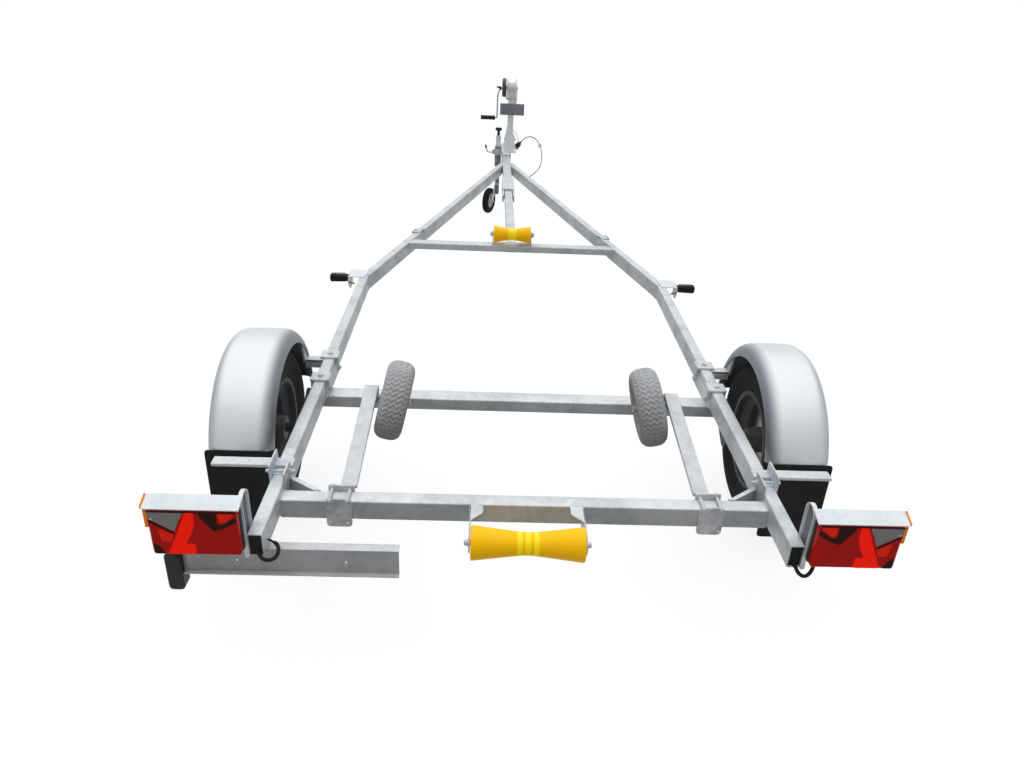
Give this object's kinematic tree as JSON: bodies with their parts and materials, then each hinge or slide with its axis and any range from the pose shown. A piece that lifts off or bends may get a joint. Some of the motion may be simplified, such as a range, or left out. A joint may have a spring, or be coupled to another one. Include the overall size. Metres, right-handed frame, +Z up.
{
  "type": "boat trailer",
  "caption": "Single-axle boat trailer: galvanised A-frame with keel rollers, leaning support wheels, winch post, jockey wheel and tail lamps.",
  "frame": {"origin": "on the floor, under the middle of the trailer's bounding box", "axes": "+X to the trailer's right, +Y forwards along the drawbar, +Z up"},
  "size_m": [1.99, 5.3924, 1.028],
  "materials": {
    "galvanised": "hot-dip galvanised, faint spangle",
    "zinc_plate": "zinc plated",
    "black_steel": "satin",
    "sleeve_steel": "dull zinc",
    "guard_silver": "satin",
    "tyre_rubber": "matte",
    "rim_silver": "satin",
    "black_rubber": "matte",
    "stop_rubber": "matte",
    "lamp_red": "gloss",
    "black_plastic": "matte",
    "roller_yellow": "satin",
    "grey_rubber": "matte",
    "grey_plastic": "matte",
    "cable_grey": "matte",
    "cable_black": "matte"
  },
  "bodies": {
    "trailer_frame": {"side_rail_right": "galvanised", "side_rail_left": "galvanised", "drawbar_leg_right": "galvanised", "drawbar_leg_left": "galvanised", "rear_cross_member": "galvanised", "front_cross_member": "galvanised", "drawbar_tube": "galvanised", "keel_tube": "galvanised", "drawbar_collar": "galvanised", "coupling_head": "zinc_plate", "axle_beam": "galvanised", "axle_bracket_right": "galvanised", "axle_bracket_left": "galvanised", "swing_arm_right": "black_steel", "swing_arm_left": "black_steel", "mudguard_right": "guard_silver", "mudguard_left": "guard_silver", "mudflap_right": "black_rubber", "mudflap_left": "black_rubber", "rear_stay_right": "galvanised", "rear_stay_left": "galvanised", "lamp_bracket_right": "galvanised", "lamp_bracket_left": "galvanised", "tail_lamp_right": "lamp_red", "tail_lamp_left": "lamp_red", "plate_holder": "galvanised", "plate_end_block": "black_rubber", "rear_roller_bracket": "galvanised", "front_roller_bracket": "galvanised", "support_arm_right": "galvanised", "support_arm_left": "galvanised", "marker_bracket_right": "galvanised", "marker_bracket_left": "galvanised", "side_marker_right": "black_plastic", "side_marker_left": "black_plastic", "winch_post": "galvanised", "bow_stop": "stop_rubber", "winch_frame": "zinc_plate", "gear_cover": "black_plastic", "jockey_clamp": "galvanised", "jockey_sleeve": "sleeve_steel", "light_cable": "cable_grey", "cable_plug": "black_plastic", "lamp_cable_right": "cable_black", "lamp_cable_left": "cable_black"},
    "wheel_left": {"tyre_left": "tyre_rubber", "rim_left": "rim_silver"},
    "wheel_right": {"tyre_right": "tyre_rubber", "rim_right": "rim_silver"},
    "support_wheel_left": {"support_tyre_left": "grey_rubber", "support_rim_left": "grey_plastic"},
    "support_wheel_right": {"support_tyre_right": "grey_rubber", "support_rim_right": "grey_plastic"},
    "rear_roller": {"rear_keel_roller": "roller_yellow"},
    "front_roller": {"front_keel_roller": "roller_yellow"},
    "drum": {"winch_drum": "zinc_plate"},
    "crank": {"winch_crank": "zinc_plate"},
    "jockey_slide": {"jockey_leg": "galvanised"},
    "jockey_caster": {"jockey_fork": "galvanised"},
    "jockey_roller": {"jockey_wheel": "black_rubber"}
  },
  "joints": [
    {"name": "wheel_left_spin", "type": "hinge", "parent": "trailer_frame", "child": "wheel_left", "pos_m": [-0.892, -1.85018, 0.288], "axis": [1, 0, 0], "continuous": true},
    {"name": "wheel_right_spin", "type": "hinge", "parent": "trailer_frame", "child": "wheel_right", "pos_m": [0.892, -1.85018, 0.288], "axis": [1, 0, 0], "continuous": true},
    {"name": "support_wheel_left_spin", "type": "hinge", "parent": "trailer_frame", "child": "support_wheel_left", "pos_m": [-0.427, -1.96018, 0.47], "axis": [0.9744, 0, -0.225], "continuous": true},
    {"name": "support_wheel_right_spin", "type": "hinge", "parent": "trailer_frame", "child": "support_wheel_right", "pos_m": [0.427, -1.96018, 0.47], "axis": [0.9744, 0, 0.225], "continuous": true},
    {"name": "rear_roller_spin", "type": "hinge", "parent": "trailer_frame", "child": "rear_roller", "pos_m": [0, -2.60518, 0.395], "axis": [1, 0, 0], "continuous": true},
    {"name": "front_roller_spin", "type": "hinge", "parent": "trailer_frame", "child": "front_roller", "pos_m": [0, -0.14918, 0.505], "axis": [1, 0, 0], "continuous": true},
    {"name": "drum_spin", "type": "hinge", "parent": "trailer_frame", "child": "drum", "pos_m": [0, 2.16988, 0.957], "axis": [1, 0, 0], "continuous": true},
    {"name": "crank_spin", "type": "hinge", "parent": "trailer_frame", "child": "crank", "pos_m": [0, 2.22488, 0.946], "axis": [1, 0, 0], "continuous": true},
    {"name": "jockey_raise", "type": "slide", "parent": "trailer_frame", "child": "jockey_slide", "axis": [0, 0, 1], "range_m": [0, 0.13]},
    {"name": "jockey_swivel", "type": "hinge", "parent": "jockey_slide", "child": "jockey_caster", "pos_m": [-0.067, 2.13988, 0.222], "axis": [0, 0, 1], "continuous": true},
    {"name": "jockey_wheel_spin", "type": "hinge", "parent": "jockey_caster", "child": "jockey_roller", "pos_m": [-0.12842, 2.09998, 0.1], "axis": [0.9272, -0.3746, 0], "continuous": true}
  ],
  "couplings": [
    {"joint": "crank_spin", "follows": "drum_spin", "ratio": -3.6667}
  ]
}
